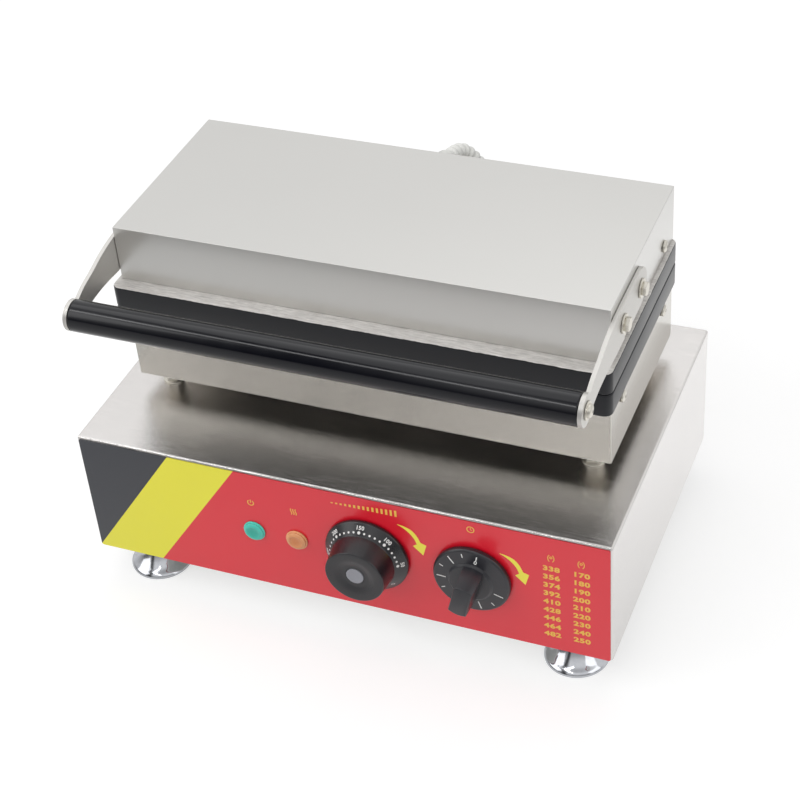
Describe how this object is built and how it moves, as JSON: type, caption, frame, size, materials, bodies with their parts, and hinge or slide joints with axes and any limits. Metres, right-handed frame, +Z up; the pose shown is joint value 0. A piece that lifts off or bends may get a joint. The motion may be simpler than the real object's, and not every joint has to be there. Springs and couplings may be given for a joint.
{
  "type": "bubble waffle maker",
  "caption": "Countertop electric bubble waffle maker: a steel base on flared feet, a cast mould that opens on a rear hinge, a front bar handle, a temperature knob and a timer knob.",
  "frame": {"origin": "on the table, in the middle of the whole machine's box", "axes": "+X to the right seen from the front, +Y to the back, +Z up; the controls and the handle face -Y"},
  "size_m": [0.41, 0.3006, 0.283],
  "materials": {
    "steel": "brushed",
    "chrome": "polished",
    "zinc": "zinc plated",
    "cast": "non-stick coating over casting",
    "film": "printed film",
    "knob": "fine grain",
    "grip": "moulded, satin",
    "disc": "satin",
    "green_lens": "clear tinted",
    "orange_lens": "clear tinted",
    "pale_plastic": "moulded",
    "fibre": "felted mineral fibre",
    "element": "oxidised",
    "copper": "drawn",
    "conduit": "ribbed, pale grey"
  },
  "bodies": {
    "base": {"base_housing": "steel", "base_bottom_plate": "steel", "front_overlay": "film", "foot_front_left": "chrome", "foot_front_right": "chrome", "foot_rear_left": "chrome", "foot_rear_right": "chrome", "mains_gland": "knob", "terminal_block": "pale_plastic", "thermostat_body": "knob", "thermostat_capillary": "copper", "timer_body": "knob", "power_lamp_body": "pale_plastic", "power_lamp_lens": "green_lens", "heat_lamp_body": "pale_plastic", "heat_lamp_lens": "orange_lens", "pillar_front_left": "zinc", "pillar_front_right": "zinc", "pillar_rear_left": "zinc", "pillar_rear_right": "zinc", "lower_housing": "steel", "lower_insulation": "fibre", "lower_heater": "element", "lower_plate": "cast", "lower_plate_screw_1": "zinc", "lower_plate_screw_2": "zinc", "lower_plate_screw_3": "zinc", "lower_plate_screw_4": "zinc", "hinge_bracket_left": "steel", "hinge_bracket_right": "steel", "hinge_rod": "zinc", "conduit": "conduit", "conduit_gland_base": "knob"},
    "lid": {"upper_housing": "steel", "upper_insulation": "fibre", "upper_heater": "element", "upper_plate": "cast", "upper_plate_screw_1": "zinc", "upper_plate_screw_2": "zinc", "upper_plate_screw_3": "zinc", "upper_plate_screw_4": "zinc", "arm_left": "steel", "arm_right": "steel", "arm_bolt_1": "zinc", "arm_bolt_2": "zinc", "arm_bolt_3": "zinc", "arm_bolt_4": "zinc", "handle_grip": "grip", "handle_core": "steel", "handle_screw_left": "zinc", "handle_screw_right": "zinc", "hinge_leaf_left": "steel", "hinge_leaf_right": "steel", "conduit_gland_lid": "knob"},
    "thermostat_dial": {"thermostat_knob": "knob", "thermostat_knob_cap": "disc", "thermostat_shaft": "zinc"},
    "timer_dial": {"timer_knob": "knob", "timer_shaft": "zinc"}
  },
  "joints": [
    {"name": "lid_hinge", "type": "hinge", "parent": "base", "child": "lid", "pos_m": [0, 0.116, 0.2212], "axis": [-1, 0, 0], "range_deg": [0, 95], "deforming": ["conduit"]},
    {"name": "thermostat_turn", "type": "hinge", "parent": "base", "child": "thermostat_dial", "pos_m": [0.024, -0.1223, 0.085], "axis": [0, 1, 0], "range_deg": [-131, 137]},
    {"name": "timer_turn", "type": "hinge", "parent": "base", "child": "timer_dial", "pos_m": [0.1038, -0.1223, 0.085], "axis": [0, 1, 0], "range_deg": [0, 261]}
  ]
}
